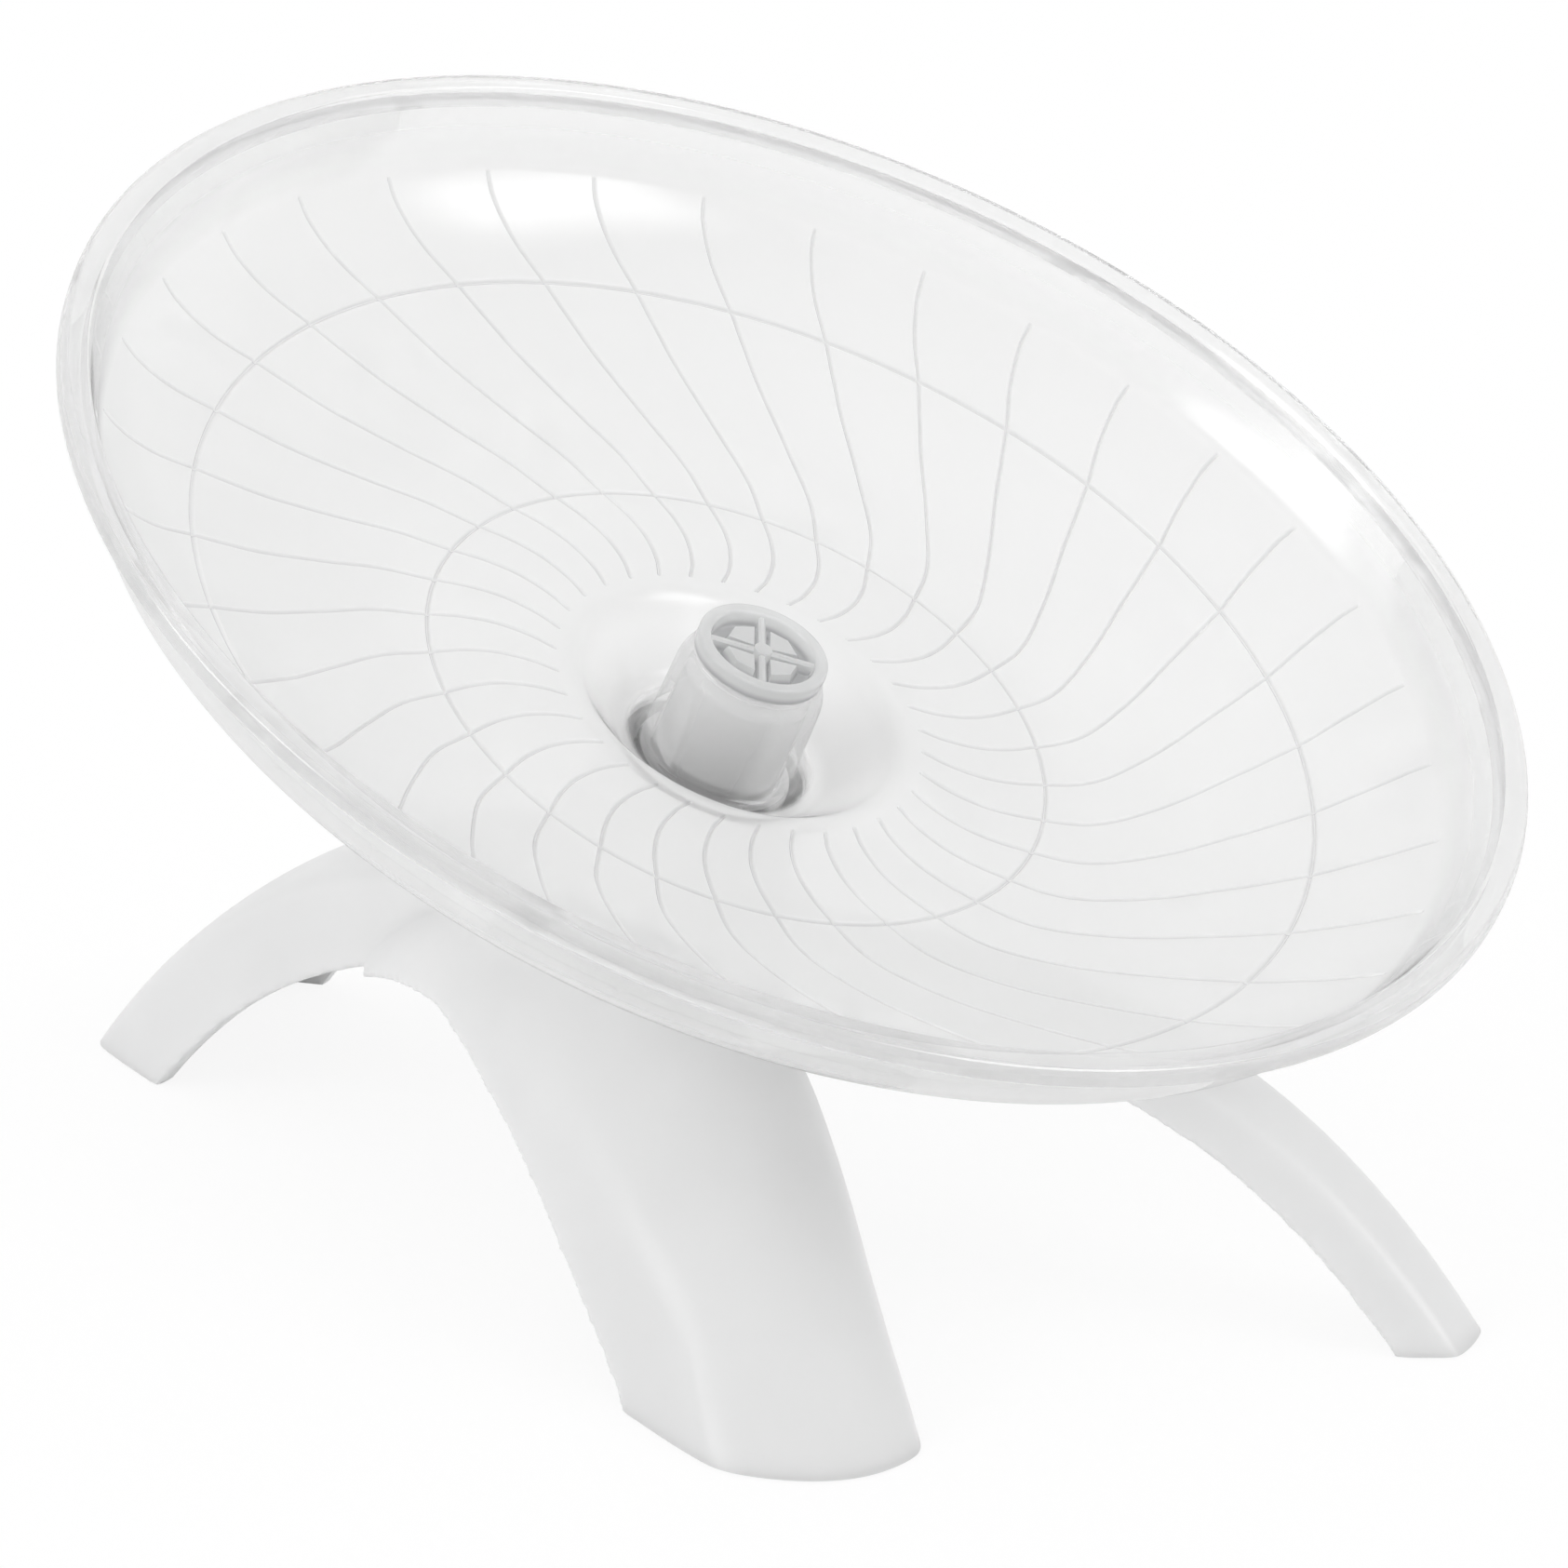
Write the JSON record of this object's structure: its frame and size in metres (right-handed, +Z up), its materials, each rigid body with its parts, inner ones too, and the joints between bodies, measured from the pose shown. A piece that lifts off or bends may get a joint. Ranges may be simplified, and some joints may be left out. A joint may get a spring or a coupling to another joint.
{
  "type": "hamster exercise wheel",
  "caption": "Flying-saucer hamster exercise wheel: a clear dished running disc with swirl grooves, leaning on a ball bearing atop a milky three-legged stand.",
  "frame": {"origin": "the middle of the bounding box at floor level", "axes": "+Z up; +X the way that the disc leans, towards its low side; +Y to the left of that"},
  "size_m": [0.1906, 0.18, 0.1257],
  "materials": {
    "clear_plastic": "polished clear styrene, faintly grey",
    "milky_plastic": "satin, slightly translucent milky white",
    "bearing_steel": "ground bearing steel",
    "cage_steel": "pressed steel, dull",
    "plated_steel": "bright zinc plate"
  },
  "bodies": {
    "stand": {"stand": "milky_plastic", "bearing_inner_race": "bearing_steel", "spacer_ring": "bearing_steel", "washer": "plated_steel", "axle_screw": "plated_steel"},
    "disc": {"running_disc": "clear_plastic", "hub_cap": "clear_plastic", "bearing_housing": "milky_plastic", "bearing_outer_race": "bearing_steel", "bearing_shield_top": "bearing_steel", "bearing_shield_bottom": "bearing_steel"},
    "cage": {"ball_cage": "cage_steel"},
    "ball_1": {"ball_1": "bearing_steel"},
    "ball_2": {"ball_2": "bearing_steel"},
    "ball_3": {"ball_3": "bearing_steel"},
    "ball_4": {"ball_4": "bearing_steel"},
    "ball_5": {"ball_5": "bearing_steel"},
    "ball_6": {"ball_6": "bearing_steel"},
    "ball_7": {"ball_7": "bearing_steel"}
  },
  "joints": [
    {"name": "disc_spin", "type": "hinge", "parent": "stand", "child": "disc", "pos_m": [0.00142, 0, 0.06269], "axis": [0.4415, 0, 0.8973], "continuous": true},
    {"name": "cage_spin", "type": "hinge", "parent": "stand", "child": "cage", "pos_m": [0.00142, 0, 0.06269], "axis": [0.4415, 0, 0.8973], "continuous": true},
    {"name": "ball_1_roll", "type": "hinge", "parent": "cage", "child": "ball_1", "pos_m": [0.00418, 0, 0.05855], "axis": [0.4415, 0, 0.8973], "continuous": true},
    {"name": "ball_2_roll", "type": "hinge", "parent": "cage", "child": "ball_2", "pos_m": [0.00272, 0.00336, 0.05926], "axis": [0.4415, 0, 0.8973], "continuous": true},
    {"name": "ball_3_roll", "type": "hinge", "parent": "cage", "child": "ball_3", "pos_m": [-0.00054, 0.00419, 0.06087], "axis": [0.4415, 0, 0.8973], "continuous": true},
    {"name": "ball_4_roll", "type": "hinge", "parent": "cage", "child": "ball_4", "pos_m": [-0.00316, 0.00187, 0.06216], "axis": [0.4415, 0, 0.8973], "continuous": true},
    {"name": "ball_5_roll", "type": "hinge", "parent": "cage", "child": "ball_5", "pos_m": [-0.00316, -0.00187, 0.06216], "axis": [0.4415, 0, 0.8973], "continuous": true},
    {"name": "ball_6_roll", "type": "hinge", "parent": "cage", "child": "ball_6", "pos_m": [-0.00054, -0.00419, 0.06087], "axis": [0.4415, 0, 0.8973], "continuous": true},
    {"name": "ball_7_roll", "type": "hinge", "parent": "cage", "child": "ball_7", "pos_m": [0.00272, -0.00336, 0.05926], "axis": [0.4415, 0, 0.8973], "continuous": true}
  ],
  "couplings": [
    {"joint": "cage_spin", "follows": "disc_spin", "ratio": 0.61},
    {"joint": "ball_1_roll", "follows": "disc_spin", "ratio": 2.155},
    {"joint": "ball_2_roll", "follows": "disc_spin", "ratio": 2.155},
    {"joint": "ball_3_roll", "follows": "disc_spin", "ratio": 2.155},
    {"joint": "ball_4_roll", "follows": "disc_spin", "ratio": 2.155},
    {"joint": "ball_5_roll", "follows": "disc_spin", "ratio": 2.155},
    {"joint": "ball_6_roll", "follows": "disc_spin", "ratio": 2.155},
    {"joint": "ball_7_roll", "follows": "disc_spin", "ratio": 2.155}
  ]
}
